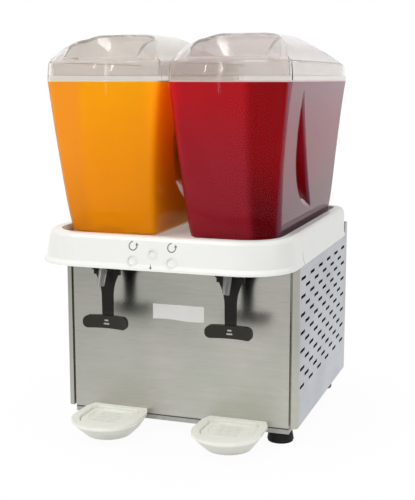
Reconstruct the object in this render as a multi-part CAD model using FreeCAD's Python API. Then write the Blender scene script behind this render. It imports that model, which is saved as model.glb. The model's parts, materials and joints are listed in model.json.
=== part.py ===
import FreeCAD, Part
import math
import os
from FreeCAD import Vector

# Twin-tank juice dispenser, millimetres, +Z up, +Y towards the rear.
# Everything is drawn from the front panel's plane (Y = 0) and the panels' bottom edge (Z = 0),
# and is moved once, on saving, so that the origin lies under the middle, on the floor.

# Cabinet
cabinet_width = 400.0
cabinet_depth = 376.0
panel_top = 272.0
sheet = 1.0
notch_y = 328.0
notch_top = 264.5
wrap_y = 356.0
rear_top = 283.0
rear_screw_x = 188.0
post_inset = 14.0
post_corner = 7.0
groove_width = 4.0
base_drop = 10.0
foot_height = 18.0
foot_radius = 21.5
foot_front_x = 167.0
foot_front_y = 24.0
foot_rear_x = 165.0
foot_rear_y = 326.0

# Side panel slots: rows of obrounds, every other row one shorter and half a pitch along
slot_rows = 13
slot_row_pitch = 14.7
slot_first_row = 63.3
slot_pitch = 61.7 / 2
slot_first_y = 29.5
slot_length = 30.0
slot_height = 5.0

# Inner parts of the cabinet
pan_wall = 1.2
pan_floor = pan_wall - base_drop
frame_half_width = 183.0
frame_front = 14.0
frame_rear = 350.0
frame_sheet = 1.5
frame_flange = 18.0
gland_x = -150.0
gland_z = 28.0
compressor_x = -88.0
compressor_y = 262.0
fan_y = 215.0
fan_z = 122.0
drier_x = -40.0
drier_y = 66.0

# Deck
deck_top = 314.0
deck_floor = 301.0
deck_wall = 3.5
deck_under = deck_floor - 3.0
deck_front = -121.0
rim_width = 12.0
frame_top = deck_under

# Tanks and lids
tank_x = 101.5
tank_wall = 3.5
tank_bottom = deck_floor
tank_rim = 572.0
front_bow = 14.0
tank_foot_step = 6.0
tank_hole_radius = 56.0
lid_wall = 3.0
lid_top = 617.5
lid_gap = 0.3
scoop_floor = 580.0
scoop_back = 25.0
scoop_half_width = 60.0
scoop_corner = 16.0
scoop_round = 1.2
skirt_depth = 19.0
skirt_inset = tank_wall + 0.8
skirt_wall = 2.2

# Lifting grips in the tanks' side walls: tips of the slanting ledge as (y, z), its depth at the
# middle, and how far below and in front of it the hollow runs out
grip_top = (28.0, 535.0)
grip_bottom = (165.0, 335.0)
grip_depth = 19.0
grip_reach = 70.0

# Evaporator and agitator, on one upright axis in each tank
dome_y = 180.0
dome_radius = 45.0
dome_flange_radius = 52.0
dome_top = 425.0
dome_wall = 1.5
pin_radius = 4.0
shaft_radius = 3.0
motor_top = deck_floor - 5.0
coil_radius = 40.3
coil_wire = 3.0
coil_pitch = 9.0
coil_turns = 9
coil_low = deck_floor + 8.0
coil_high = coil_low + coil_pitch * coil_turns
suction_y = dome_y + 30.0
feed_y = dome_y + coil_radius
suction_pipe = 2.5
feed_pipe = 1.6

# Taps and levers
tap_x = 103.5
tap_half_width = 16.0
spigot_y = -14.0
spigot_radius = 9.0
chamber_y = -44.0
chamber_radius = 9.0
pivot_y = -70.0
pivot_z = 264.0
lever_pin_radius = 2.4
running_gap = 0.1
piston_head_low = pivot_z + 4.0
piston_head_high = pivot_z + 16.0
cap_low = deck_under - 5.0
port_radius = 4.0
nozzle_tilt = math.radians(20.0)
nozzle_y = -62.0
nozzle_z = 250.0
nozzle_length = 39.5
nose_low = 256.0
lever_y = -47.5
lever_thick = 5.0
ear_inner = 16.5
ear_outer = 22.5
shelf_top = 256.0
paddle_y = -51.5
paddle_thick = 8.0
paddle_bend = 89.0
paddle_width = 76.0
paddle_height = 20.5
paddle_low = 153.0

# Drip trays
tray_x = 102.7
tray_rim_top = 8.0
tray_bottom = -21.5
tray_radius = 55.5
tray_centre_y = -61.5
basin_radius = 43.0

# Where the origin lies: under the middle of the overall box
rear_reach = 388.0
mid_y = (deck_front + rear_reach) / 2
floor_z = -(base_drop + foot_height)

os.makedirs("parts", exist_ok=True)
sides = (("left", -1), ("right", 1))


def box(x0, x1, y0, y1, z0, z1):
    return Part.makeBox(x1 - x0, y1 - y0, z1 - z0, Vector(x0, y0, z0))


def rod(radius, start, end):
    along = Vector(*end) - Vector(*start)
    return Part.makeCylinder(radius, along.Length, Vector(*start), along)


def upright(radius, x, y, z0, z1):
    return rod(radius, (x, y, z0), (x, y, z1))


def tube(outer, inner, x, y, z0, z1):
    return upright(outer, x, y, z0, z1).cut(upright(inner, x, y, z0 - 1, z1 + 1))


def fuse(shapes):
    return shapes[0].multiFuse(shapes[1:]).removeSplitter()


def moved(shape, x=0.0, y=0.0, z=0.0):
    return shape.translated(Vector(x, y, z))


def flipped(shape):
    return shape.mirror(Vector(0, 0, 0), Vector(1, 0, 0))


def turned(shape, point, axis, degrees):
    copy = shape.copy()
    copy.rotate(Vector(*point), Vector(*axis), degrees)
    return copy


def polygon(points):
    return Part.makePolygon([Vector(*p) for p in points + points[:1]])


def prism(points, direction):
    return Part.Face(polygon(points)).extrude(Vector(*direction))


def line(a, b):
    return Part.LineSegment(Vector(*a), Vector(*b)).toShape()


def arc(a, b, c):
    return Part.Arc(Vector(*a), Vector(*b), Vector(*c)).toShape()


def save(node, shapes):
    if not isinstance(shapes, (list, tuple)):
        shapes = [shapes]
    solids = [solid for shape in shapes for solid in shape.Solids]
    shape = solids[0] if len(solids) == 1 else Part.makeCompound(solids)
    shape = moved(shape, y=-mid_y, z=-floor_z)
    if not shape.isValid():
        print("NOT VALID", node)
    shape.exportStep("parts/" + node + ".step")
    b = shape.BoundBox
    print("%-24s %2d solid(s) %9.1f cm3  x %7.1f %7.1f  y %7.1f %7.1f  z %6.1f %6.1f" % (
        node, len(solids), shape.Volume / 1000, b.XMin, b.XMax, b.YMin, b.YMax, b.ZMin, b.ZMax))


# Rounded outlines shared by the tanks, lids and deck


def bowed_outline(z, half_width, front, rear, bow, front_radius, rear_radius):
    """Closed outline with a bowed front, straight sides and rear, and round corners."""
    bow_radius = (half_width ** 2 + bow ** 2) / (2 * bow)
    bow_centre = front + bow_radius
    corner_x = half_width - front_radius
    reach = bow_radius - front_radius
    corner_y = bow_centre - math.sqrt(reach ** 2 - corner_x ** 2)
    lean = math.atan2(corner_x, bow_centre - corner_y)
    touch_x = bow_radius * math.sin(lean)
    touch_y = bow_centre - bow_radius * math.cos(lean)
    half = (math.pi / 2 + lean) / 2
    round_x = corner_x + front_radius * math.sin(half)
    round_y = corner_y - front_radius * math.cos(half)
    rear_y = rear - rear_radius
    rear_x = half_width - rear_radius
    skew = rear_radius * math.sqrt(0.5)
    return Part.Wire([
        arc((-touch_x, touch_y, z), (0, front, z), (touch_x, touch_y, z)),
        arc((touch_x, touch_y, z), (round_x, round_y, z), (half_width, corner_y, z)),
        line((half_width, corner_y, z), (half_width, rear_y, z)),
        arc((half_width, rear_y, z), (rear_x + skew, rear_y + skew, z), (rear_x, rear, z)),
        line((rear_x, rear, z), (-rear_x, rear, z)),
        arc((-rear_x, rear, z), (-rear_x - skew, rear_y + skew, z), (-half_width, rear_y, z)),
        line((-half_width, rear_y, z), (-half_width, corner_y, z)),
        arc((-half_width, corner_y, z), (-round_x, round_y, z), (-touch_x, touch_y, z)),
    ])


def bowed_loft(rows, inset=0.0, ruled=False):
    """Rows are (z, half width, front, rear, bow, front corner radius, rear corner radius)."""
    wires = []
    for z, half_width, front, rear, bow, front_radius, rear_radius in rows:
        wires.append(bowed_outline(z, half_width - inset, front + inset, rear - inset, bow,
                                   max(front_radius - inset, 3.0), max(rear_radius - inset, 3.0)))
    return Part.makeLoft(wires, True, ruled)


# Tanks: flared walls, a band under the rim, a small step at the bottom.
# Rows are (z, half width, front, rear, bow, front corner radius, rear corner radius).

tank_flare = [
    (306.0, 72.5, -40.0, 329.0, front_bow, 16.0, 16.0),
    (350.0, 77.0, -52.0, 343.0, front_bow, 16.0, 16.0),
    (400.0, 80.5, -62.0, 350.0, front_bow, 16.0, 16.0),
    (450.0, 85.0, -69.0, 353.0, front_bow, 16.0, 16.0),
    (500.0, 90.5, -73.0, 354.0, front_bow, 16.0, 16.0),
    (543.0, 96.5, -74.0, 354.0, front_bow, 16.0, 16.0),
]
tank_band = [
    tank_flare[-1],
    (558.0, 96.0, -74.0, 353.5, front_bow, 17.0, 18.0),
    (tank_rim, 94.5, -73.8, 350.0, front_bow, 18.0, 24.0),
]


def tank_form(inset):
    """The tank's solid shape, drawn in by the inset; drawn in, it runs out past the rim."""
    floor = tank_bottom + inset
    low = (max(tank_flare[0][0], floor + 2.0),) + tank_flare[0][1:]
    foot = (floor, low[1] - tank_foot_step, low[2] + tank_foot_step, low[3] - tank_foot_step) + low[4:]
    pieces = [
        bowed_loft([foot, low], inset, True),
        bowed_loft([low] + tank_flare[1:], inset),
        bowed_loft(tank_band, inset),
    ]
    if inset > 0:
        rim = tank_band[-1]
        pieces.append(bowed_loft([rim, (tank_rim + 1.0,) + rim[1:]], inset, True))
    return fuse(pieces)


def wall_x(z):
    """Half width of the tank's outer wall at a height."""
    for low, high in zip(tank_flare, tank_flare[1:]):
        if z <= high[0]:
            return low[1] + (high[1] - low[1]) * (z - low[0]) / (high[0] - low[0])
    return tank_flare[-1][1]


def grip_tool(sign, grow):
    """Wide cylinder that leans out of the wall, with its flat end as the ledge that fingers lift."""
    top, bottom = [Vector(wall_x(z) + 0.6, y, z) for y, z in (grip_top, grip_bottom)]
    half = (bottom - top).Length / 2
    radius = (half ** 2 + grip_depth ** 2) / (2 * grip_depth)
    along = (bottom - top).normalize()
    normal = along.cross(Vector(0, 1, 0)).normalize()
    forward = along.cross(normal)
    lean = math.atan2(grip_depth, grip_reach)
    axis = forward * math.cos(lean) + normal * math.sin(lean)
    away = normal * math.cos(lean) - forward * math.sin(lean)
    centre = (top + bottom) * 0.5 + away * (radius - grip_depth) - axis * grow
    tool = Part.makeCylinder(radius + grow, 2 * grip_reach, centre, axis)
    return tool if sign > 0 else flipped(tool)


def with_grips(form, grow):
    return form.cut(grip_tool(-1, grow)).cut(grip_tool(1, grow))


def make_tank():
    outer = with_grips(tank_form(0.0), 0.0)
    inner = with_grips(tank_form(tank_wall), tank_wall)
    shell = outer.cut(inner)
    shell = shell.cut(upright(tank_hole_radius, 0, dome_y, tank_bottom - 1, tank_bottom + 20))
    collar = tube(tank_hole_radius + 3.5, tank_hole_radius, 0, dome_y, tank_bottom, tank_bottom + 10)
    spigot_x = tap_x - tank_x
    spigot = upright(spigot_radius, spigot_x, spigot_y, tank_bottom - 18, tank_bottom + 1)
    bore = upright(6.0, spigot_x, spigot_y, tank_bottom - 19, tank_bottom + 12)
    return fuse([shell, collar, spigot]).cut(bore)


# Lids: a dome that slopes on all sides, with a scoop cut in the front

lid_rows = [
    (575.0, 92.5, -73.0, 346.5, 14.0, 18.0, 28.0),
    (584.0, 85.5, -69.0, 320.0, 14.0, 20.0, 42.0),
    (594.0, 80.0, -55.5, 266.0, 12.0, 26.0, 50.0),
    (604.0, 70.0, -36.0, 221.0, 10.0, 30.0, 50.0),
    (612.0, 57.0, -10.0, 198.0, 8.0, 28.0, 44.0),
    (lid_top, 42.0, 19.0, 174.0, 6.0, 24.0, 32.0),
]


def dome_form(inset):
    rows = [(row[0] - inset,) + row[1:] for row in lid_rows]
    return bowed_loft(rows, inset)


def scoop_form(grow):
    corner = scoop_corner + grow
    half = scoop_half_width + grow
    back = scoop_back + grow
    skew = corner * math.sqrt(0.5)
    front = -120.0
    z = scoop_floor - grow
    outline = Part.Wire([
        line((-half, front, z), (half, front, z)),
        line((half, front, z), (half, back - corner, z)),
        arc((half, back - corner, z), (half - corner + skew, back - corner + skew, z),
            (half - corner, back, z)),
        line((half - corner, back, z), (-half + corner, back, z)),
        arc((-half + corner, back, z), (-half + corner - skew, back - corner + skew, z),
            (-half, back - corner, z)),
        line((-half, back - corner, z), (-half, front, z)),
    ])
    return Part.Face(outline).extrude(Vector(0, 0, 60))


def scoop_rim(form):
    """Edges where the scoop's sides and back come out through the dome."""
    rim = []
    for edge in form.Edges:
        b = edge.BoundBox
        slanting = b.XLength > 0.1 or b.YLength > 0.1
        on_wall = abs(abs(b.XMin) - scoop_half_width) < 0.1 or abs(b.YMax - scoop_back) < 0.1
        above = b.ZMin > scoop_floor - 0.1 and b.ZMax > scoop_floor + 5
        if slanting and on_wall and above and b.YMax < scoop_back + 0.5:
            rim.append(edge)
    return rim


def make_lid():
    rim = tank_band[-1][1:]
    seat = tank_rim + lid_gap
    low = tank_rim - skirt_depth
    base = bowed_loft([(seat,) + rim, lid_rows[0]], 0.0, True)
    shell = fuse([base, dome_form(0.0)]).cut(scoop_form(0.0))
    shell = shell.makeFillet(scoop_round, scoop_rim(shell))
    shell = shell.cut(dome_form(lid_wall).cut(scoop_form(lid_wall)))
    skirt = bowed_loft([(low,) + rim, (seat + 0.5,) + rim], skirt_inset, True)
    mouth = bowed_loft([(low - 1,) + rim, (seat + 4,) + rim], skirt_inset + skirt_wall, True)
    return fuse([shell, fuse([base, skirt]).cut(mouth)])


# Evaporator dome, its seal, coil, drive and impeller


def make_dome():
    body = upright(dome_radius, 0, dome_y, deck_floor, dome_top)
    top_edges = [e for e in body.Edges if abs(e.BoundBox.ZMin - dome_top) < 0.01
                 and e.BoundBox.XLength > dome_radius]
    body = body.makeFillet(12.0, top_edges[:1])
    hollow = upright(dome_radius - dome_wall, 0, dome_y, deck_floor - 1, dome_top - dome_wall)
    hollow_edges = [e for e in hollow.Edges if abs(e.BoundBox.ZMin - dome_top + dome_wall) < 0.01
                    and e.BoundBox.XLength > dome_radius]
    hollow = hollow.makeFillet(10.5, hollow_edges[:1])
    flange = upright(dome_flange_radius, 0, dome_y, deck_floor, deck_floor + 3)
    pin = upright(pin_radius, 0, dome_y, dome_top - 1, dome_top + 26)
    return fuse([body, flange]).cut(hollow).fuse(pin).removeSplitter()


def helix(radius, wire, pitch, turns, z0, x, y):
    path = Part.makeHelix(pitch, pitch * turns, radius)
    start = path.Edges[0].firstVertex().Point
    slope = math.atan2(pitch, 2 * math.pi * radius)
    heading = Vector(0, math.cos(slope), math.sin(slope))
    ring = Part.Wire(Part.makeCircle(wire, start, heading))
    solid = Part.Wire(path.Edges).makePipeShell([ring], True, True)
    return moved(solid, x, y, z0)


def make_impeller():
    z0 = dome_top + 2.0
    hub = tube(9.0, pin_radius + running_gap, 0, dome_y, z0, z0 + 22)
    disc = tube(24.0, pin_radius + running_gap, 0, dome_y, z0, z0 + 4)
    blades = []
    for step in range(4):
        blade = box(7.5, 43.0, -1.5, 1.5, z0 + 1, z0 + 17)
        blade = turned(blade, (25, 0, z0 + 9), (1, 0, 0), 20)
        blade = turned(blade, (0, 0, 0), (0, 0, 1), 90 * step)
        blades.append(moved(blade, y=dome_y))
    bore = upright(pin_radius + running_gap, 0, dome_y, z0 - 5, z0 + 40)
    return fuse([hub, disc] + blades).cut(bore)


def make_drive():
    shaft = upright(shaft_radius, 0, dome_y, motor_top - 6, dome_top - 14)
    magnet = upright(20.0, 0, dome_y, dome_top - 16, dome_top - 6)
    return fuse([shaft, magnet])


def make_motor():
    can = upright(24.0, 0, dome_y, motor_top - 34, motor_top - 3)
    plate = box(-38, 38, dome_y - 22, dome_y + 22, motor_top - 3, motor_top)
    posts = [upright(3.0, x, dome_y + y, motor_top, deck_under) for x in (-32, 32) for y in (-16, 16)]
    bore = upright(shaft_radius + running_gap, 0, dome_y, motor_top - 7, motor_top + 1)
    return fuse([can, plate] + posts).cut(bore)


# Deck: a moulded tray with an apron at the front and a skirt round the cabinet

deck_rows = [
    (265.0, 207.0, deck_front, 374.4, 80.0, 60.0),
    (268.0, 206.4, -120.0, 374.4, 80.0, 59.0),
    (273.0, 204.6, -113.5, 374.4, 78.0, 56.0),
    (300.0, 201.4, -107.5, 374.4, 75.0, 40.0),
    (308.0, 199.8, -105.5, 374.0, 73.0, 38.0),
    (312.0, 197.6, -103.2, 372.8, 71.0, 36.0),
    (deck_top, 194.0, -99.5, 370.0, 68.0, 34.0),
]
deck_bow = 0.8


def deck_form(inset=0.0, rows=None):
    full = [(z, w, front, rear, deck_bow, r1, r2) for z, w, front, rear, r1, r2 in rows or deck_rows]
    return bowed_loft(full, inset, True)


def deck_row(z):
    """Deck outline at a height, between the listed rows."""
    for low, high in zip(deck_rows, deck_rows[1:]):
        if low[0] <= z <= high[0]:
            t = (z - low[0]) / (high[0] - low[0])
            return tuple(a + (b - a) * t for a, b in zip(low, high))
    return deck_rows[0 if z < deck_rows[0][0] else -1]


# Controls stand square to the leaning apron: (name, x, z, bezel radius, rocker radius)
apron_low = (-113.5, 273.0)
apron_high = (-107.5, 300.0)
apron_slope = (apron_high[0] - apron_low[0]) / (apron_high[1] - apron_low[1])
switches = (
    ("left", -31.6, 278.0, 9.2, 7.8),
    ("right", 31.6, 278.0, 9.2, 7.8),
    ("cooling", 0.0, 290.0, 8.4, 6.5),
)
bezel_rise = 0.8
rocker_gap = 0.4
rocker_pivot_depth = 4.0
rocker_tilt = 7.0


def on_apron(shape, x, z):
    """Moves a shape drawn along +Z (out of the apron) onto the apron at x, z."""
    shape = turned(shape, (0, 0, 0), (1, 0, 0), 90 - math.degrees(math.atan(apron_slope)))
    return moved(shape, x, apron_low[0] + apron_slope * (z - apron_low[1]), z)


def make_deck():
    outer = deck_form()
    under_rows = [row for row in deck_rows if row[0] < 300.0] + [deck_row(deck_under)]
    under = deck_form(deck_wall, [(264.0,) + under_rows[0][1:]] + under_rows)
    recess_low = (deck_floor,) + deck_row(310.0)[1:]
    recess_high = (deck_top + 1,) + deck_row(deck_top)[1:]
    recess = deck_form(rim_width, [recess_low, recess_high])
    deck = outer.cut(under).cut(recess)
    for _, sign in sides:
        holes = [
            (sign * tap_x, spigot_y, spigot_radius + 1.0),
            (sign * tank_x, dome_y, 14.0),
            (sign * tank_x, suction_y, suction_pipe + 0.6),
            (sign * tank_x, feed_y, feed_pipe + 0.6),
        ]
        for x, y, radius in holes:
            deck = deck.cut(upright(radius, x, y, deck_under - 5, deck_floor + 5))
    for _, x, z, bezel_radius, _ in switches:
        deck = deck.cut(on_apron(upright(bezel_radius - 0.6, 0, 0, -20, 20), x, z))
        deck = deck.cut(on_apron(upright(bezel_radius + 0.2, 0, 0, 0.0, 12.0), x, z))
    return deck


def make_bezels():
    """Flat rings whose ball-shaped mouths follow the rockers closely."""
    bezels = []
    for _, x, z, outer, ball in switches:
        ring = upright(outer, 0, 0, 0.05, bezel_rise)
        barrel = upright(outer - 0.8, 0, 0, -17, 0.3)
        mouth = Part.makeSphere(ball + rocker_gap, Vector(0, 0, -rocker_pivot_depth))
        room = upright(ball + rocker_gap, 0, 0, -15, -rocker_pivot_depth)
        bezels.append(on_apron(fuse([ring, barrel]).cut(mouth).cut(room), x, z))
    return bezels


def make_rocker(x, z, ball):
    """Slice of a ball with a hollowed face, tilted about its pivot into the off position."""
    slab = box(-20, 20, -20, 20, -8.0, 0.6)
    dish = Part.makeCylinder(40, 40, Vector(-20, 0, 39.6), Vector(1, 0, 0))
    cap = Part.makeSphere(ball, Vector(0, 0, -rocker_pivot_depth)).common(slab).cut(dish)
    stem = upright(2.5, 0, 0, -10.0, -7.5)
    rocker = turned(fuse([cap, stem]), (0, 0, -rocker_pivot_depth), (1, 0, 0), -rocker_tilt)
    return on_apron(rocker, x, z)


# Cabinet sheet metal


def make_base_pan():
    half = cabinet_width / 2 - post_inset
    rear = cabinet_depth - sheet
    outer = box(-half, half, 1.5, rear, -base_drop, 0)
    inner = box(-half + pan_wall, half - pan_wall, 1.5 + pan_wall, rear - pan_wall, pan_floor, 1)
    pan = outer.cut(inner)
    for x, y in foot_places():
        pan = pan.cut(upright(3.2, x, y, -20, 5))
    return pan


def foot_places():
    return [(sign * x, y) for x, y in ((foot_front_x, foot_front_y), (foot_rear_x, foot_rear_y))
            for sign in (-1, 1)]


def make_feet():
    feet = []
    top = -base_drop
    bottom = floor_z
    for x, y in foot_places():
        cone = Part.makeCone(foot_radius, foot_radius - 2.5, top - bottom - 3, Vector(x, y, bottom + 3))
        pad = upright(foot_radius - 1.0, x, y, bottom, bottom + 3)
        foot = fuse([cone, pad])
        foot = foot.cut(upright(3.2, x, y, bottom + 6, top + 1))
        feet.append(foot.cut(upright(7.0, x, y, bottom - 1, bottom + 6)))
    return feet


def make_foot_screws():
    screws = []
    for x, y in foot_places():
        shank = upright(3.0, x, y, floor_z + 6, -base_drop + 5)
        head = upright(6.0, x, y, floor_z + 3, floor_z + 6)
        nut = upright(5.5, x, y, pan_floor, pan_floor + 4)
        screws.append(fuse([shank, head, nut]))
    return screws


def make_front_panel():
    half = cabinet_width / 2 - post_inset
    skin = box(-half, half, 0, sheet, 0, panel_top)
    folds = [box(x, x + sheet, 0, 12, 0, panel_top) for x in (-half, half - sheet)]
    ledges = [box(-half, half, 0, 12, z, z + sheet) for z in (0, panel_top - sheet)]
    panel = fuse([skin] + folds + ledges)
    for _, sign in sides:
        for dx in (-26, 26):
            x = sign * tray_x + dx
            panel = panel.cut(box(x - 8, x + 8, -2, 3, 0.7 + tray_rim_top - 8, tray_rim_top - 2.3))
    return panel


def make_post():
    """Right-hand front post: flat front, round outer corner, flat return along the side."""
    x1 = cabinet_width / 2
    x0 = x1 - post_inset + groove_width
    depth = post_inset
    full = box(x0, x1, 0, depth, 0, panel_top)
    edge = [e for e in full.Edges if abs(e.BoundBox.XMin - x1) < 0.01 and e.BoundBox.YMax < 0.01
            and e.BoundBox.ZLength > 100]
    full = full.makeFillet(post_corner, edge)
    hollow = box(x0 - 1, x1 - 1.2, 1.2, depth + 1, -1, panel_top + 1)
    hollow_edge = [e for e in hollow.Edges if abs(e.BoundBox.XMin - x1 + 1.2) < 0.01
                   and e.BoundBox.YMax < 1.3 and e.BoundBox.ZLength > 100]
    hollow = hollow.makeFillet(post_corner - 1.2, hollow_edge)
    lip = box(x0, x0 + 1.2, 0.5, 9, 0, panel_top)
    back = box(x0 - groove_width, x0 + 1.2, 9, 10.2, 1.2, panel_top - 1.2)
    return fuse([full.cut(hollow), lip, back])


def slot_places():
    places = []
    for row in range(slot_rows):
        count = 6 if row % 2 == 0 else 5
        start = slot_first_y + (0 if row % 2 == 0 else slot_pitch)
        for step in range(count):
            places.append((start + 2 * slot_pitch * step, slot_first_row + slot_row_pitch * row))
    return places


def obround(length, height, y, z):
    """Obround through the right-hand side panel, centred at y, z."""
    r = height / 2
    run = length / 2 - r
    x = cabinet_width / 2 - 5
    middle = box(x, x + 10, y - run, y + run, z - r, z + r)
    ends = [rod(r, (x, y + s * run, z), (x + 10, y + s * run, z)) for s in (-1, 1)]
    return middle.multiFuse(ends).removeSplitter()


def make_side_panel():
    """Slotted skin, lower where the deck's corner turns in, with a strip behind the rear panel."""
    x1 = cabinet_width / 2
    y0 = post_inset + 0.4
    strip_x = x1 - 1.4
    strip_y = cabinet_depth - sheet - 0.2
    skin = [
        box(x1 - sheet, x1, y0, wrap_y, 0, notch_top),
        box(x1 - sheet, x1, y0, notch_y, notch_top - sheet, panel_top),
    ]
    ledges = [
        box(x1 - 15.5, x1, y0, wrap_y, 0, sheet),
        box(x1 - 15.5, x1, y0, notch_y, panel_top - sheet, panel_top),
        box(x1 - 15.5, x1, notch_y - sheet, wrap_y, notch_top - sheet, notch_top),
    ]
    strip = [
        box(strip_x - sheet, x1, wrap_y - sheet, wrap_y, 0, notch_top),
        box(strip_x - sheet, strip_x, wrap_y - sheet, strip_y, 0, notch_top),
        box(x1 - 22, strip_x, strip_y - sheet, strip_y, 0, notch_top),
    ]
    panel = fuse(skin + ledges + strip)
    slots = [obround(slot_length, slot_height, y, z) for y, z in slot_places()]
    panel = panel.cut(Part.makeCompound(slots))
    for x, z in rear_screw_places():
        if x > 0:
            panel = panel.cut(rod(2.1, (x, strip_y - 5, z), (x, strip_y + 5, z)))
    return panel


def make_rear_panel():
    """Back sheet that stands behind the deck, with flanges that wrap the cabinet's rear corners."""
    half = cabinet_width / 2
    y1 = cabinet_depth
    outer = box(-half, half, wrap_y + 0.2, y1, 0, rear_top)
    corners = [e for e in outer.Edges if e.BoundBox.YMin > y1 - 0.01 and e.BoundBox.ZLength > 100]
    outer = outer.makeFillet(1.5, corners)
    panel = outer.cut(box(-half + sheet, half - sheet, wrap_y - 1, y1 - sheet, -1, rear_top + 1))
    slots = []
    for row in range(12):
        for column in (-1, 1):
            x = column * 78
            z = 60 + row * 14.7
            slots.append(box(x - 52, x + 52, y1 - 4, y1 + 2, z - 2.5, z + 2.5))
    panel = panel.cut(Part.makeCompound(slots))
    panel = panel.cut(rod(8.2, (gland_x, y1 - 5, gland_z), (gland_x, y1 + 5, gland_z)))
    for x, z in rear_screw_places():
        panel = panel.cut(rod(2.1, (x, y1 - 5, z), (x, y1 + 5, z)))
    return panel


def rear_screw_places():
    return [(sign * rear_screw_x, z) for z in (14, 135, 250) for sign in (-1, 1)]


def make_gland():
    y1 = cabinet_depth
    flange = rod(12.0, (gland_x, y1 + 0.05, gland_z), (gland_x, y1 + 4, gland_z))
    nose = Part.makeCone(10.0, 7.5, rear_reach - y1 - 4, Vector(gland_x, y1 + 4, gland_z), Vector(0, 1, 0))
    thread = rod(8.0, (gland_x, y1 - 10, gland_z), (gland_x, y1 + 0.05, gland_z))
    nut = rod(12.0, (gland_x, y1 - 6, gland_z), (gland_x, y1 - sheet - 0.05, gland_z))
    bore = rod(4.2, (gland_x, y1 - 12, gland_z), (gland_x, rear_reach + 1, gland_z))
    return fuse([flange, nose, thread, nut]).cut(bore)


def make_rear_screws():
    screws = []
    y1 = cabinet_depth
    for x, z in rear_screw_places():
        shank = rod(2.0, (x, y1 - 8, z), (x, y1 + 0.02, z))
        ball = Part.makeSphere(5.0, Vector(x, y1 - 2.6, z))
        head = ball.common(box(x - 6, x + 6, y1 + 0.02, y1 + 4, z - 6, z + 6))
        slot = box(x - 0.5, x + 0.5, y1 + 1.4, y1 + 5, z - 3, z + 3)
        screws.append(fuse([shank, head]).cut(slot))
    return screws


def make_frame():
    """Welded inner frame: four angle uprights under a ring that carries the deck."""
    bars = []
    low = frame_top - frame_flange
    for sign in (-1, 1):
        outer = sign * frame_half_width
        side = sorted((outer, outer - sign * frame_sheet))
        face = sorted((outer, outer - sign * frame_flange))
        for inward, y in ((1, frame_front), (-1, frame_rear)):
            deep = sorted((y, y + inward * frame_flange))
            thin = sorted((y, y + inward * frame_sheet))
            bars.append(box(*side, *deep, pan_floor, frame_top))
            bars.append(box(*face, *thin, pan_floor, frame_top))
        bars.append(box(*side, frame_front, frame_rear, low, frame_top))
    for y in (frame_front, frame_rear - frame_sheet):
        bars.append(box(-frame_half_width, frame_half_width, y, y + frame_sheet, low, frame_top))
    return fuse(bars)


# Cooling gear inside the cabinet


def make_compressor():
    x, y = compressor_x, compressor_y
    outer = upright(62.0, x, y, 16, 150)
    top = [e for e in outer.Edges if abs(e.BoundBox.ZMin - 150) < 0.01 and e.BoundBox.XLength > 60]
    outer = outer.makeFillet(26.0, top[:1])
    inner = upright(58.0, x, y, 20, 146)
    top = [e for e in inner.Edges if abs(e.BoundBox.ZMin - 146) < 0.01 and e.BoundBox.XLength > 60]
    inner = inner.makeFillet(23.0, top[:1])
    seam = tube(64.5, 61.0, x, y, 78, 84)
    plate = box(x - 78, x + 78, y - 48, y + 48, 12, 16)
    for hx, hy in grommet_places():
        plate = plate.cut(upright(6.2, hx, hy, 10, 20))
    stubs = [
        rod(4.5, (x + 30, y - 40, 60), (x + 30, y - 70, 60)),
        rod(4.5, (x - 30, y - 40, 60), (x - 30, y - 70, 60)),
    ]
    relay = box(x - 80, x - 52, y - 16, y + 16, 50, 92)
    return fuse([outer, seam, plate, relay] + stubs).cut(inner)


def grommet_places():
    return [(compressor_x + sx * 66, compressor_y + sy * 38) for sx in (-1, 1) for sy in (-1, 1)]


def make_grommets():
    grommets = []
    for x, y in grommet_places():
        body = upright(11.0, x, y, pan_floor, 11.9)
        neck = upright(6.0, x, y, 11.8, 16.1)
        cap = upright(9.0, x, y, 16.1, 19)
        grommets.append(fuse([body, neck, cap]))
    return grommets


condenser_box = (140.0, 176.0, 96.0, 334.0, 12.0, 232.0)
condenser_tube = 4.5
condenser_rows = [28.0 + 27.0 * step for step in range(8)]
condenser_columns = (150.0, 166.0)


def make_condenser():
    """Two columns of tube, joined at the lowest row, through fins between two end plates."""
    x0, x1, y0, y1, z0, z1 = condenser_box
    plates = [box(x0, x1, y, y + 1.5, pan_floor, z1) for y in (y0 + 14, y1 - 15.5)]
    fins = []
    for step in range(1, 24):
        y = y0 + 14 + 8.6 * step
        fins.append(box(x0 + 1, x1 - 1, y, y + 0.6, z0 + 2, z1 - 2))
    tubes = []
    for x in condenser_columns:
        for z in condenser_rows:
            tubes.append(rod(condenser_tube, (x, y0 + 8, z), (x, y1 - 8, z)))
        for step, (low, high) in enumerate(zip(condenser_rows, condenser_rows[1:])):
            y = y0 + 8 if step % 2 else y1 - 8
            tubes.append(half_ring(x, y, (low + high) / 2, 13.5, condenser_tube, -1 if step % 2 else 1))
    left, right = condenser_columns
    low = condenser_rows[0]
    start = Vector(left, y0 + 8, low)
    link = arc(start, ((left + right) / 2, y0 + 8 - (right - left) / 2, low), (right, y0 + 8, low))
    ring = Part.Wire(Part.makeCircle(condenser_tube, start, Vector(0, 1, 0)))
    tubes.append(Part.Wire(link).makePipeShell([ring], True, True))
    return fuse(plates + fins + tubes)


def half_ring(x, y, z, radius, wire, sign):
    """Half a torus in the plane X = x, bulging towards +Y or -Y."""
    path = Part.Wire(arc((x, y, z - radius), (x, y + sign * radius, z), (x, y, z + radius)))
    ring = Part.Wire(Part.makeCircle(wire, Vector(x, y, z - radius), Vector(0, 1, 0)))
    return path.makePipeShell([ring], True, True)


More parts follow.
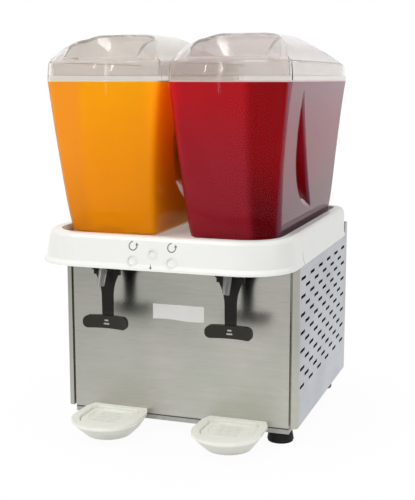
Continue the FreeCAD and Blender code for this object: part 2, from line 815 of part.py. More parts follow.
def make_shroud():
    """Plate on the condenser's end plates, with a round duct towards the fan."""
    x1 = condenser_box[0]
    plate = box(x1 - 2.5, x1, 110, 320, 16, 228)
    duct = rod(92, (x1 - 20, fan_y, fan_z), (x1, fan_y, fan_z))
    hole = rod(89, (x1 - 30, fan_y, fan_z), (x1 + 5, fan_y, fan_z))
    return fuse([plate, duct]).cut(hole)


def make_fan_motor():
    x1 = condenser_box[0] - 26
    can = rod(29, (x1 - 40, fan_y, fan_z), (x1 - 4, fan_y, fan_z))
    nose = rod(12, (x1 - 4.2, fan_y, fan_z), (x1 - 1, fan_y, fan_z))
    foot = box(x1 - 34, x1 - 10, fan_y - 34, fan_y + 34, pan_floor, pan_floor + 2)
    webs = [box(x1 - 30, x1 - 14, y - 2, y + 2, pan_floor + 1, fan_z - 18) for y in (fan_y - 20, fan_y + 20)]
    bore = rod(shaft_radius + running_gap, (x1 - 10, fan_y, fan_z), (x1 + 1, fan_y, fan_z))
    return fuse([can, nose, foot] + webs).cut(bore)


def make_fan():
    x1 = condenser_box[0] - 26
    shaft = rod(shaft_radius, (x1 - 8, fan_y, fan_z), (x1 + 14, fan_y, fan_z))
    hub = rod(20, (x1, fan_y, fan_z), (x1 + 14, fan_y, fan_z))
    blades = []
    for step in range(5):
        blade = box(x1 + 6, x1 + 8, -17, 17, 17, 84)
        blade = turned(blade, (x1 + 7, 0, 50), (0, 0, 1), 24)
        blade = blade.common(rod(84, (x1 - 10, 0, 0), (x1 + 30, 0, 0)))
        blade = turned(blade, (0, 0, 0), (1, 0, 0), 72 * step)
        blades.append(moved(blade, y=fan_y, z=fan_z))
    return fuse([shaft, hub] + blades)


def make_drier():
    x, y = drier_x, drier_y
    can = upright(11, x, y, 40, 120)
    cone = Part.makeCone(11, 3.2, 12, Vector(x, y, 120))
    inlet = Part.makeCone(3.2, 11, 12, Vector(x, y, 28))
    clip = box(x - 14, x + 14, y - 14, y - 10.5, 60, 66)
    strap = box(x - 14, x - 11.5, y - 14, y + 2, 60, 66)
    leg = box(x - 14, x - 8, y - 14, y - 12, pan_floor, 66)
    return fuse([can, cone, inlet, clip, strap, leg])


def pipe(points, radius, bend):
    """Tube along straight runs joined by tangent arcs of one bend radius."""
    pts = [Vector(*p) for p in points]
    edges = []
    here = pts[0]
    for before, corner, after in zip(pts, pts[1:], pts[2:]):
        back = (before - corner).normalize()
        ahead = (after - corner).normalize()
        half = back.getAngle(ahead) / 2
        reach = bend / math.tan(half)
        start = corner + back * reach
        end = corner + ahead * reach
        bisector = (back + ahead).normalize()
        middle = corner + bisector * (bend / math.sin(half) - bend)
        edges.append(Part.LineSegment(here, start).toShape())
        edges.append(Part.Arc(start, middle, end).toShape())
        here = end
    edges.append(Part.LineSegment(here, pts[-1]).toShape())
    path = Part.Wire(edges)
    ring = Part.Wire(Part.makeCircle(radius, pts[0], pts[1] - pts[0]))
    solid = path.makePipeShell([ring], True, True)
    expected = math.pi * radius ** 2 * path.Length
    if abs(solid.Volume / expected - 1) > 0.01:
        print("pipe volume is off", solid.Volume, expected)
    return solid


def make_lines():
    """Discharge, liquid, feed and suction lines, each one run of pipe or a branched one."""
    x, y = compressor_x, compressor_y
    port_y = y - 70.1
    first, last = condenser_columns
    entry_y = condenser_box[2] + 7.9
    top = condenser_rows[-1]
    riser_y = 80.0
    discharge = pipe([(x + 30, port_y, 60), (x + 30, 150, 60), (40, 150, 60), (40, riser_y, 60),
                      (first, riser_y, 60), (first, riser_y, top), (first, entry_y, top)], 3.0, 10.0)
    liquid = pipe([(last, entry_y, top), (last, drier_y, top), (last, drier_y, 12),
                   (drier_x, drier_y, 12), (drier_x, drier_y, 27.9)], 2.6, 5.0)
    feed_z = 272.0
    riser_top = coil_low - coil_wire - 0.1
    feed = fuse([
        pipe([(-tank_x, feed_y, riser_top), (-tank_x, feed_y, feed_z),
              (tank_x, feed_y, feed_z), (tank_x, feed_y, riser_top)], feed_pipe, 5.0),
        pipe([(drier_x, drier_y, 132.1), (drier_x, drier_y, feed_z), (drier_x, feed_y, feed_z)],
             feed_pipe, 5.0)])
    suction_z = 284.0
    coil_inside = feed_y - coil_wire - 0.1
    drops = []
    for sign in (-1, 1):
        drops.append([(sign * tank_x, coil_inside, coil_high), (sign * tank_x, suction_y, coil_high),
                      (sign * tank_x, suction_y, suction_z)])
    main = drops[1] + [(-160, suction_y, suction_z), (-160, suction_y, 60), (-160, 150, 60),
                       (x - 30, 150, 60), (x - 30, port_y, 60)]
    suction = fuse([pipe(main, suction_pipe, 5.0), pipe(drops[0], suction_pipe, 5.0)])
    return [discharge, liquid, feed, suction]


def make_thermostat():
    """Control box on a tab that hangs from the frame's front rail."""
    rail = frame_front + frame_sheet
    tab = box(-30, 30, rail, rail + 2.5, 226, frame_top - 8)
    body = box(-24, 24, rail + 2, rail + 32, 224, 262)
    return fuse([body, tab])


# Taps


def make_tap_body():
    """Block under the deck: a well under the spigot, a channel to the piston's chamber, a port out."""
    block = box(-tap_half_width, tap_half_width, -76, -2, pivot_z, deck_under)
    nose = box(-tap_half_width, tap_half_width, -76, -53, nose_low, pivot_z + 1)
    hollows = [
        upright(spigot_radius + 0.6, 0, spigot_y, 281, deck_under + 1),
        upright(11.4, 0, spigot_y, 291, deck_under + 1),
        upright(6.0, 0, spigot_y, pivot_z + 5, 282),
        rod(3.5, (0, spigot_y, 273), (0, chamber_y, 273)),
        upright(chamber_radius, 0, chamber_y, pivot_z + 3, deck_under + 1),
        upright(2.7, 0, chamber_y, pivot_z - 1, pivot_z + 4),
        rod(port_radius, nozzle_point(-24), nozzle_point(20)),
        rod(lever_pin_radius + 0.05, (-30, pivot_y, pivot_z), (30, pivot_y, pivot_z)),
    ]
    body = fuse([block, nose])
    for hollow in hollows:
        body = body.cut(hollow)
    return body


def nozzle_point(distance):
    """Point on the nozzle's axis, measured down and forward along it."""
    return (0, nozzle_y - math.sin(nozzle_tilt) * distance, nozzle_z - math.cos(nozzle_tilt) * distance)


def make_nozzle():
    """Tapered spout with a neck that plugs into the tap body's port."""
    down = Vector(0, -math.sin(nozzle_tilt), -math.cos(nozzle_tilt))
    start = Vector(*nozzle_point(-14))
    cone = Part.makeCone(7.0, 5.4, nozzle_length, start, down)
    cone = cone.cut(box(-20, 20, -120, 0, nose_low - 0.1, 300))
    neck = rod(port_radius - 0.05, nozzle_point(-12), nozzle_point(0))
    bore = Part.makeCone(3.0, 3.8, nozzle_length + 6, start - down * 4, down)
    return fuse([cone, neck]).cut(bore)


def make_tap_cap():
    return upright(chamber_radius - 0.05, 0, chamber_y, cap_low, deck_under)


def make_piston():
    head = upright(chamber_radius - running_gap, 0, chamber_y, piston_head_low, piston_head_high)
    stem = upright(2.5, 0, chamber_y, shelf_top + 1, piston_head_low + 1)
    foot = upright(3.5, 0, chamber_y, shelf_top + 0.4, shelf_top + 1.6)
    return fuse([head, stem, foot])


def make_lever():
    """Plate, stem and paddle in front view, ears to the pin, and a shelf under the piston."""
    y = lever_y
    shelf_low = shelf_top - 4
    stem_half = 9.4
    stem_low = paddle_low + 8
    right = [
        line((0, y, shelf_low), (ear_outer, y, shelf_low)),
        line((ear_outer, y, shelf_low), (ear_outer, y, 246)),
        arc((ear_outer, y, 246), (13.4, y, 228), (stem_half, y, 205)),
        line((stem_half, y, 205), (stem_half - 0.5, y, stem_low)),
        line((stem_half - 0.5, y, stem_low), (0, y, stem_low)),
        line((0, y, stem_low), (0, y, shelf_low)),
    ]
    half = Part.Face(Part.Wire(right)).extrude(Vector(0, lever_thick, 0))
    rear = y + lever_thick
    ear_side = [(ear_inner, rear, 240), (ear_inner, y, 240), (ear_inner, y, 246), (ear_inner, -64, 255.5),
                (ear_inner, -76, 259), (ear_inner, -76, 269), (ear_inner, rear, 269)]
    ear = prism(ear_side, (ear_outer - ear_inner, 0, 0))
    shelf = box(-ear_inner - 1, ear_inner + 1, y - 2.5, rear + 2.5, shelf_low, shelf_top)
    paddle_high = paddle_low + paddle_height
    centre = paddle_y - paddle_bend
    ring = rod(paddle_bend + paddle_thick, (0, centre, paddle_low), (0, centre, paddle_high))
    ring = ring.cut(rod(paddle_bend, (0, centre, paddle_low - 1), (0, centre, paddle_high + 1)))
    outline = box(-paddle_width / 2, paddle_width / 2, -90, -20, paddle_low, paddle_high)
    edges = [e for e in outline.Edges if e.BoundBox.YLength > 50]
    paddle = ring.common(outline.makeFillet(9.0, edges))
    lever = fuse([half, flipped(half), ear, flipped(ear), shelf, paddle])
    return lever.cut(rod(lever_pin_radius + running_gap, (-40, pivot_y, pivot_z), (40, pivot_y, pivot_z)))


# Drip trays


def tray_outline(z, radius, centre_y, back_half, back_y, shoulder_y):
    """D shape: straight back, slanted shoulders, straight sides and a round front."""
    return Part.Wire([
        line((-back_half, back_y, z), (back_half, back_y, z)),
        line((back_half, back_y, z), (radius - 0.8, shoulder_y, z)),
        line((radius - 0.8, shoulder_y, z), (radius, centre_y, z)),
        arc((radius, centre_y, z), (0, centre_y - radius, z), (-radius, centre_y, z)),
        line((-radius, centre_y, z), (-radius + 0.8, shoulder_y, z)),
        line((-radius + 0.8, shoulder_y, z), (-back_half, back_y, z)),
    ])


tray_back = -0.4
tray_ledge = 1.5


def make_tray():
    rim = Part.makeLoft([
        tray_outline(tray_rim_top, tray_radius, tray_centre_y, 47, tray_back, -20),
        tray_outline(tray_rim_top - 4.5, tray_radius, tray_centre_y, 47, tray_back, -20)], True, True)
    bowl = Part.makeLoft([
        tray_outline(tray_rim_top - 4.5, tray_radius - 0.5, tray_centre_y, 46.5, tray_back, -20),
        tray_outline(-8.0, 47.5, -57.0, 42, tray_back, -16),
        tray_outline(tray_bottom, 37.0, -51.0, 34, tray_back, -12)], True, True)
    seat = Part.makeLoft([
        tray_outline(tray_rim_top + 1, basin_radius + 0.5, tray_centre_y, 36, -11, -22),
        tray_outline(tray_ledge, basin_radius - 2, tray_centre_y, 34, -12, -23)], True, True)
    basin = Part.makeLoft([
        tray_outline(tray_ledge + 0.5, basin_radius - 6, tray_centre_y, 29, -16, -26),
        tray_outline(tray_bottom + 3.5, 31.5, -52.0, 25, -16, -24)], True, True)
    tongues = [box(dx - 6, dx + 6, tray_back - 1, 6, tray_rim_top - 6.2, tray_rim_top - 3.2) for dx in (-26, 26)]
    return fuse([rim, bowl] + tongues).cut(seat).cut(basin)


def make_insert():
    """Slotted plate with a shallow dish and one small round dimple."""
    plate = Part.makeLoft([
        tray_outline(tray_ledge + 0.1, basin_radius - 3, tray_centre_y, 33, -13.2, -23.6),
        tray_outline(tray_ledge + 3.1, basin_radius - 2.6, tray_centre_y, 33.4, -12.8, -23.4)], True, True)
    dish = Part.makeLoft([
        tray_outline(tray_ledge + 1.6, 32.0, -49.0, 24, -20, -28),
        tray_outline(tray_ledge + 3.2, 34.0, -49.0, 25, -18, -26)], True, True)
    slots = []
    for step in range(5):
        y = -32.0 - 9.0 * step
        slots.append(box(-20.0, 20.0, y - 0.8, y + 0.8, 0, 8))
    dimple = upright(3.5, -26.5, -44.0, tray_ledge + 0.8, 8)
    return plate.cut(dish).cut(Part.makeCompound(slots)).cut(dimple)


# Front sticker, bare: its lower edge waves a little


def make_label():
    top = 187.5
    low = 162.2
    face = Part.Face(Part.Wire([
        line((-43.5, -0.5, top), (44.5, -0.5, top)),
        line((44.5, -0.5, top), (44.5, -0.5, low)),
        arc((44.5, -0.5, low), (22, -0.5, low - 1.0), (0.5, -0.5, low)),
        arc((0.5, -0.5, low), (-21, -0.5, low + 1.0), (-43.5, -0.5, low)),
        line((-43.5, -0.5, low), (-43.5, -0.5, top)),
    ]))
    return face.extrude(Vector(0, 0.5, 0))


# Saving, cabinet first

save("base_pan", make_base_pan())
save("feet", make_feet())
save("foot_screws", make_foot_screws())
save("chassis_frame", make_frame())
save("front_panel", make_front_panel())
save("rear_panel", make_rear_panel())
save("rear_screws", make_rear_screws())
save("cable_gland", make_gland())
save("top_deck", make_deck())
save("switch_bezels", make_bezels())
save("front_label", make_label())
save("compressor", make_compressor())
save("compressor_mounts", make_grommets())
save("condenser", make_condenser())
save("fan_shroud", make_shroud())
save("fan_motor", make_fan_motor())
save("fan", make_fan())
save("filter_drier", make_drier())
save("refrigerant_lines", make_lines())
save("thermostat", make_thermostat())

for name, x, z, _, ball in switches:
    save("rocker_" + name, make_rocker(x, z, ball))

side_panel = make_side_panel()
post = make_post()
tank = make_tank()
lid = make_lid()
dome = make_dome()
impeller = make_impeller()
drive = make_drive()
motor = make_motor()
tap_body = make_tap_body()
nozzle = make_nozzle()
piston = make_piston()
lever = make_lever()
tray = make_tray()
insert = make_insert()
spring_wire = 0.6
spring_turns = 4
spring_room = cap_low - piston_head_high - 2 * spring_wire - 0.2
spring = helix(5.5, spring_wire, spring_room / spring_turns, spring_turns,
               piston_head_high + spring_wire + 0.1, 0, chamber_y)

coil = helix(coil_radius, coil_wire, coil_pitch, coil_turns, coil_low, 0, dome_y)
coil = turned(coil, (0, dome_y, 0), (0, 0, 1), 90)

for name, sign in sides:
    save("evaporator_coil_" + name, moved(coil, x=sign * tank_x))
    save("side_panel_" + name, side_panel if sign > 0 else flipped(side_panel))
    save("corner_post_" + name, post if sign > 0 else flipped(post))
    save("tank_" + name, moved(tank if sign > 0 else flipped(tank), x=sign * tank_x))
    save("lid_" + name, moved(lid, x=sign * tank_x))
    save("evaporator_" + name, moved(dome, x=sign * tank_x))
    save("impeller_" + name, moved(impeller, x=sign * tank_x))
    save("drive_" + name, moved(drive, x=sign * tank_x))
    save("agitator_motor_" + name, moved(motor, x=sign * tank_x))
    save("tap_body_" + name, moved(tap_body, x=sign * tap_x))
    save("nozzle_" + name, moved(nozzle, x=sign * tap_x))
    save("tap_piston_" + name, moved(piston, x=sign * tap_x))
    save("tap_spring_" + name, moved(spring, x=sign * tap_x))
    save("lever_" + name, moved(lever, x=sign * tap_x))
    save("drip_tray_" + name, moved(tray, x=sign * tray_x))
    save("drip_insert_" + name, moved(insert, x=sign * tray_x))

both = [sign for _, sign in sides]
seal = tube(55.6, dome_flange_radius + 0.1, 0, dome_y, deck_floor, deck_floor + 6)
tap_seal = tube(11.3, spigot_radius + 0.2, 0, spigot_y, 291.2, 294)
pin = rod(lever_pin_radius, (-24, pivot_y, pivot_z), (24, pivot_y, pivot_z))
save("tank_seals", [moved(seal, x=s * tank_x) for s in both])
save("tap_seals", [moved(tap_seal, x=s * tap_x) for s in both])
save("tap_caps", [moved(make_tap_cap(), x=s * tap_x) for s in both])
save("lever_pins", [moved(pin, x=s * tap_x) for s in both])
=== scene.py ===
import bmesh
import bpy
import json
import math
from mathutils import Matrix, Vector
from mathutils.bvhtree import BVHTree


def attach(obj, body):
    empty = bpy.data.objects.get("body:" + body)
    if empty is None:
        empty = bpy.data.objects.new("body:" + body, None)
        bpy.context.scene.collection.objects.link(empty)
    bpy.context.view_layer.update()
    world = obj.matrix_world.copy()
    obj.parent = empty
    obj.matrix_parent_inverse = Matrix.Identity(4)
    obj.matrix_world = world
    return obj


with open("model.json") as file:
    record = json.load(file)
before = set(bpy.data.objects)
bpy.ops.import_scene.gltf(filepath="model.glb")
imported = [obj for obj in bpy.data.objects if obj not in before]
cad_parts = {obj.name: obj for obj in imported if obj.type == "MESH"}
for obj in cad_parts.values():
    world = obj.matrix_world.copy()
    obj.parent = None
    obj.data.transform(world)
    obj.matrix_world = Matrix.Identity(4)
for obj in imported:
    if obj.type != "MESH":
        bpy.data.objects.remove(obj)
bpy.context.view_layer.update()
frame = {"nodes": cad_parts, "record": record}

scene = bpy.context.scene
scene.view_settings.view_transform = "Standard"
print("frame loaded,", len(frame["nodes"]), "nodes")

# Places on the dispenser are in drawing millimetres: x from its middle, y from the front panel's plane,
# z from the panel's lower edge. Shader sizes are in metres.
drawing = {"frontY": -133.5, "lowZ": 28.0}
sideSigns = {"left": -1, "right": 1}


def at(x, y, z):
    return Vector((x, y + drawing["frontY"], z + drawing["lowZ"])) / 1000


def level(z):
    return at(0, 0, z).z


def depthAt(y):
    return at(0, y, 0).y


# Shader expressions


class Wire:
    # one output of a node; arithmetic on it adds Math nodes
    def __init__(self, shading, socket):
        self.shading = shading
        self.socket = socket

    def calc(self, operation, *values):
        sockets = {index: value for index, value in enumerate(values)}
        return self.shading.node("Math", {"operation": operation}, sockets)

    def __add__(self, other):
        return self.calc("ADD", self, other)

    def __sub__(self, other):
        return self.calc("SUBTRACT", self, other)

    def __rsub__(self, other):
        return self.calc("SUBTRACT", other, self)

    def __mul__(self, other):
        return self.calc("MULTIPLY", self, other)

    def __pow__(self, other):
        return self.calc("POWER", self, other)

    def __abs__(self):
        return self.calc("ABSOLUTE", self)

    def step(self, low, high):
        # 0 below low, 1 above high, smooth between
        values = {"Value": self, "From Min": low, "From Max": high}
        return self.shading.node("MapRange", {"interpolation_type": "SMOOTHSTEP"}, values)

    __radd__ = __add__
    __rmul__ = __mul__


class Shading:
    # the node tree of a material or of the world, with short ways to its usual nodes
    def __init__(self, owner):
        owner.use_nodes = True
        self.tree = owner.node_tree

    def feed(self, socket, value):
        if isinstance(value, Wire):
            self.tree.links.new(value.socket, socket)
        elif hasattr(value, "__len__") and len(value) == 3 and socket.type == "RGBA":
            socket.default_value = (*value, 1.0)
        else:
            socket.default_value = value

    def node(self, kind, settings=None, sockets=None, out=0):
        made = self.tree.nodes.new("ShaderNode" + kind)
        for name, value in (settings or {}).items():
            setattr(made, name, value)
        for name, value in (sockets or {}).items():
            self.feed(made.inputs[name], value)
        return Wire(self, made.outputs[out])

    def place(self, scale=(1, 1, 1)):
        # Object coordinates in metres, scaled down along the way that a grain runs
        values = {"Vector": self.node("TexCoord", out="Object"), "Scale": scale}
        return self.node("Mapping", {"vector_type": "POINT"}, values)

    def noise(self, size, detail=2.0, rough=0.5, scale=(1, 1, 1)):
        # size is a grain's width in metres
        values = {"Vector": self.place(scale), "Scale": 1 / size, "Detail": detail, "Roughness": rough}
        return self.node("TexNoise", None, values)

    def axis(self, letter):
        return self.node("SeparateXYZ", None, {"Vector": self.node("TexCoord", out="Object")}, letter)

    def height(self, low, high):
        # 0 up to the drawing height low, 1 from high
        return self.axis("Z").step(level(low), level(high))

    def blend(self, factor, first, second, way="MIX"):
        settings = {"data_type": "RGBA", "blend_type": way, "clamp_factor": True}
        return self.node("Mix", settings, {0: factor, 6: first, 7: second}, 2)

    def bump(self, height, depth, strength=1.0):
        return self.node("Bump", None, {"Height": height, "Distance": depth, "Strength": strength})


class Finish(Shading):
    # one material with a Principled shader
    def __init__(self, name, **sockets):
        self.material = bpy.data.materials.new(name)
        super().__init__(self.material)
        self.tree.nodes.clear()
        self.output = self.tree.nodes.new("ShaderNodeOutputMaterial")
        self.shader = self.tree.nodes.new("ShaderNodeBsdfPrincipled")
        self.tree.links.new(self.shader.outputs[0], self.output.inputs[0])
        self.set(**sockets)

    def set(self, **sockets):
        # socket names with their spaces left out, such as BaseColor
        for socket in self.shader.inputs:
            key = socket.name.replace(" ", "")
            if key in sockets:
                self.feed(socket, sockets[key])


def shade(colour, factor):
    return tuple(channel * factor for channel in colour)


# Moulded plastics and rubbers. Tone is how much darker the worn places are.

plastics = {
    "deck_plastic": {"colour": (0.84, 0.845, 0.81), "rough": 0.30, "grain": 0.0010, "depth": 0.000004,
                     "tone": 0.02},
    "impeller_plastic": {"colour": (0.88, 0.88, 0.86), "rough": 0.35, "grain": 0.0008, "depth": 0.000015,
                         "tone": 0.03},
    "tap_plastic": {"colour": (0.82, 0.82, 0.79), "rough": 0.38, "grain": 0.0009, "depth": 0.00002,
                    "tone": 0.05},
    "lever_plastic": {"colour": (0.007, 0.0066, 0.0045), "rough": 0.42, "grain": 0.0007, "depth": 0.00004,
                      "tone": 0.25, "shine": 0.22, "paddle": (0.025, 0.024, 0.018)},
    "tray_plastic": {"colour": (0.97, 0.97, 0.89), "rough": 0.33, "grain": 0.0012, "depth": 0.00001,
                     "tone": 0.03, "coat": 0.1},
    # the trays' own finish: tray_plastic with painted shade on the bowl below its rim
    "bowl_plastic": {"colour": (0.97, 0.97, 0.89), "rough": 0.33, "grain": 0.0012, "depth": 0.00001,
                     "tone": 0.03, "coat": 0.1, "bowl": (0.74, 0.74, 0.67)},
    "switch_ring": {"colour": (0.80, 0.80, 0.78), "rough": 0.3, "grain": 0.0006, "depth": 0.00001,
                    "tone": 0.03, "coat": 0.2},
    "switch_rocker": {"colour": (0.86, 0.86, 0.845), "rough": 0.22, "grain": 0.0006, "depth": 0.000008,
                      "tone": 0.03, "coat": 0.4},
    "label_film": {"colour": (0.96, 0.95, 0.92), "rough": 0.30, "grain": 0.0015, "depth": 0.00002,
                   "tone": 0.06, "coat": 0.5},
    "seal_rubber": {"colour": (0.62, 0.62, 0.59), "rough": 0.6, "grain": 0.0007, "depth": 0.00004,
                    "tone": 0.08},
    "black_rubber": {"colour": (0.006, 0.006, 0.0065), "rough": 0.62, "grain": 0.0008, "depth": 0.00007,
                     "tone": 0.35, "shine": 0.25},
    "shroud_plastic": {"colour": (0.02, 0.02, 0.021), "rough": 0.5, "grain": 0.0012, "depth": 0.00004,
                       "tone": 0.3},
    "gland_plastic": {"colour": (0.018, 0.018, 0.018), "rough": 0.45, "grain": 0.0008, "depth": 0.00005,
                      "tone": 0.25},
    "box_plastic": {"colour": (0.42, 0.42, 0.40), "rough": 0.45, "grain": 0.0011, "depth": 0.00004,
                    "tone": 0.1},
    "symbol_print": {"colour": (0.19, 0.19, 0.18), "rough": 0.45, "grain": 0.0005, "depth": 0.00001,
                     "tone": 0.3},
    "paddle_print": {"colour": (0.50, 0.50, 0.48), "rough": 0.5, "grain": 0.0005, "depth": 0.00001,
                     "tone": 0.25},
}
plasticWearAndShade = {"bend": 1.49, "shine": 0.5, "coatRough": 0.12, "cloud": 0.06, "speck": 0.004,
               "cloudShare": 0.7, "wornFrom": 0.3, "wornTo": 0.75, "roughPatch": 0.02, "roughLeast": 0.9,
               "roughSpread": 0.25, "coatMost": 1.1, "coatLost": 0.35, "paddleTop": (173, 183),
               "bowlTop": (-2, 4)}


def mouldedPlastic(name, look):
    wear = plasticWearAndShade
    finish = Finish(name, IOR=wear["bend"], CoatRoughness=wear["coatRough"],
                    SpecularIORLevel=look.get("shine", wear["shine"]))
    cloud = finish.noise(wear["cloud"], 3)
    speck = finish.noise(wear["speck"], 2)
    mixed = cloud * wear["cloudShare"] + speck * (1 - wear["cloudShare"])
    worn = mixed.step(wear["wornFrom"], wear["wornTo"])
    colour = finish.blend(worn, look["colour"], shade(look["colour"], 1 - look["tone"]))
    if name == "deck_plastic":
        colour = deckMarks(finish, colour)
    if "paddle" in look:
        # the paddle, low on the lever, is a paler black than the rest of the lever
        colour = finish.blend(finish.height(*wear["paddleTop"]), look["paddle"], colour)
    if "bowl" in look:
        # painted shade: below its rim the tray's bowl is greyer
        colour = finish.blend(finish.height(*wear["bowlTop"]), look["bowl"], colour)
    finish.set(BaseColor=colour)
    patch = finish.noise(wear["roughPatch"], 3)
    finish.set(Roughness=look["rough"] * wear["roughLeast"] + patch * (look["rough"] * wear["roughSpread"]))
    if "coat" in look:
        finish.set(CoatWeight=look["coat"] * (wear["coatMost"] - worn * wear["coatLost"]))
    finish.set(Normal=finish.bump(finish.noise(look["grain"], 3), look["depth"]))
    return finish.material


# the seam's y, top and fade and the gap's front, frontFade and floor are in drawing millimetres
seam = {"y": 6.0, "half": 0.0006, "top": 285.0, "fade": 3.0, "side": 0.195, "sideFade": 0.001,
        "dark": (0.22, 0.22, 0.21)}
gap = {"inner": 0.030, "outer": 0.060, "front": -86.0, "frontFade": 1.0, "rearFrom": 0.0, "rearTo": 0.12,
       "floor": (302, 310), "glow": (0.19, 0.21, 0.20)}


def deckMarks(finish, colour):
    # a short upright seam low on each side, and light through the drinks on the floor between the tanks
    away = abs(finish.axis("Y") - depthAt(seam["y"]))
    below = 1 - finish.height(seam["top"] - seam["fade"], seam["top"])
    outer = abs(finish.axis("X")).step(seam["side"] - seam["sideFade"], seam["side"])
    line = (1 - away.step(seam["half"], seam["half"] * 2)) * below * outer
    between = 1 - abs(finish.axis("X")).step(gap["inner"], gap["outer"])
    floor = 1 - finish.height(*gap["floor"])
    depth = finish.axis("Y")
    behind = depth.step(depthAt(gap["front"] - gap["frontFade"]), depthAt(gap["front"]))
    inside = behind * (1 - depth.step(gap["rearFrom"], gap["rearTo"]))
    finish.set(EmissionStrength=1.0)
    finish.set(EmissionColor=finish.blend(between * floor * inside, (0, 0, 0), gap["glow"]))
    return finish.blend(line, colour, seam["dark"])


# Sheet steel and turned steel

steels = {
    "front_steel": {"colour": (0.50, 0.485, 0.445), "cool": (0.43, 0.435, 0.385), "rough": 0.16,
                    "along": (0.06, 1.0, 1.0), "strand": 0.0010, "dimTop": 0.72, "satinLow": 0.24,
                    "across": (0.97, 1.12)},
    "side_steel": {"colour": (0.52, 0.54, 0.575), "cool": (0.455, 0.475, 0.52), "rough": 0.36,
                   "along": (1.0, 0.05, 1.0), "strand": 0.0012, "dimTop": 0.90},
    "dome_steel": {"colour": (0.62, 0.62, 0.61), "cool": (0.56, 0.57, 0.58), "rough": 0.2,
                   "along": (0.15, 0.15, 1.0), "strand": 0.0010},
    "pin_steel": {"colour": (0.60, 0.60, 0.59), "cool": (0.50, 0.51, 0.52), "rough": 0.25,
                  "along": (1.0, 0.2, 0.2), "strand": 0.0005},
    "screw_steel": {"colour": (0.66, 0.66, 0.66), "cool": (0.58, 0.59, 0.6), "rough": 0.18,
                    "along": (1.0, 1.0, 0.3), "strand": 0.0004},
}
brushing = {"bandWidth": 9, "patch": 0.11, "patchShare": 0.75, "smearFrom": 0.33, "smearTo": 0.7,
            "streakFrom": 0.35, "streakTo": 0.75, "streak": 0.25, "streakShade": 0.72, "roughLeast": 0.82,
            "roughStrand": 0.3, "roughSmear": 0.03, "strandShare": 0.6, "depth": 0.000018,
            "dim": (20, 260), "satin": (140, 225), "acrossFrom": -0.2, "acrossTo": 0.2}


def brushedSteel(name, look):
    brush = brushing
    finish = Finish(name, Metallic=1.0)
    strand = finish.noise(look["strand"], 3, 0.6, look["along"])
    band = finish.noise(look["strand"] * brush["bandWidth"], 2, 0.5, look["along"])
    patch = finish.noise(brush["patch"], 2, 0.5)
    mixed = patch * brush["patchShare"] + band * (1 - brush["patchShare"])
    smear = mixed.step(brush["smearFrom"], brush["smearTo"])
    colour = finish.blend(smear, look["colour"], look["cool"])
    streak = strand.step(brush["streakFrom"], brush["streakTo"]) * brush["streak"]
    colour = finish.blend(streak, colour, shade(look["cool"], brush["streakShade"]))
    rough = look["rough"] * brush["roughLeast"] + strand * (look["rough"] * brush["roughStrand"])
    rough = rough + smear * brush["roughSmear"]
    if "dimTop" in look:
        # painted shade: the sheet is darker high up, under the overhanging deck
        colour = finish.blend(finish.height(*brush["dim"]), colour, (look["dimTop"],) * 3, "MULTIPLY")
    if "satinLow" in look:
        # it is wiped to a softer satin low down, and painted light makes it a little brighter towards the
        # right
        rough = rough + (1 - finish.height(*brush["satin"])) * look["satinLow"]
        left, right = [(tone,) * 3 for tone in look["across"]]
        across = finish.axis("X").step(brush["acrossFrom"], brush["acrossTo"])
        colour = finish.blend(1.0, colour, finish.blend(across, left, right), "MULTIPLY")
    finish.set(BaseColor=colour)
    finish.set(Roughness=rough)
    ridges = strand * brush["strandShare"] + band * (1 - brush["strandShare"])
    finish.set(Normal=finish.bump(ridges, brush["depth"]))
    return finish.material


# Painted, galvanised and bare metals. Flake is the width of one crystal or paint cell.

metals = {
    "frame_steel": {"colour": (0.42, 0.43, 0.44), "rough": 0.42, "flake": 0.009, "metal": 0.85},
    "pan_steel": {"colour": (0.42, 0.42, 0.395), "rough": 0.42, "flake": 0.009, "metal": 0.85,
                  "grime": (0.08, 0.077, 0.07)},
    "magnet_steel": {"colour": (0.10, 0.10, 0.105), "rough": 0.4, "flake": 0.006, "metal": 0.3},
    "compressor_paint": {"colour": (0.012, 0.012, 0.0135), "rough": 0.28, "flake": 0.005, "metal": 0.0},
    "motor_metal": {"colour": (0.22, 0.23, 0.245), "rough": 0.42, "flake": 0.007, "metal": 0.6},
    "fin_coating": {"colour": (0.09, 0.09, 0.14), "rough": 0.42, "flake": 0.008, "metal": 0.35},
    "copper_tube": {"colour": (0.60, 0.27, 0.15), "rough": 0.3, "flake": 0.012, "metal": 1.0},
}
coating = {"cellTone": 0.4, "cellShade": 0.72, "dust": 0.03, "dustFrom": 0.5, "dustTo": 0.8, "dustTone": 0.35,
           "dustShade": 0.5, "roughLeast": 0.85, "roughCell": 0.1, "roughDust": 0.08, "pit": 0.0015,
           "pitDepth": 0.00003, "pitStrength": 0.8, "grime": (-3.0, -2.4)}


def coatedMetal(name, look):
    finish = Finish(name, Metallic=look["metal"])
    values = {"Vector": finish.place(), "Scale": 1 / look["flake"]}
    cell = finish.node("TexVoronoi", {"feature": "F1"}, values, "Color")
    tone = finish.node("RGBToBW", None, {"Color": cell})
    dust = finish.noise(coating["dust"], 4, 0.6)
    worn = shade(look["colour"], coating["cellShade"])
    dusty = shade(look["colour"], coating["dustShade"])
    colour = finish.blend(tone * coating["cellTone"], look["colour"], worn)
    settled = dust.step(coating["dustFrom"], coating["dustTo"]) * coating["dustTone"]
    colour = finish.blend(settled, colour, dusty)
    if "grime" in look:
        # painted shadow: a dark line where the panels meet the pan
        colour = finish.blend(finish.height(*coating["grime"]), colour, look["grime"])
    finish.set(BaseColor=colour)
    rough = look["rough"] * coating["roughLeast"] + tone * coating["roughCell"] + dust * coating["roughDust"]
    finish.set(Roughness=rough)
    pits = finish.noise(coating["pit"], 3)
    finish.set(Normal=finish.bump(pits, coating["pitDepth"], coating["pitStrength"]))
    return finish.material


# Clear and milky plastics. Haze is the share of light that the plastic scatters.

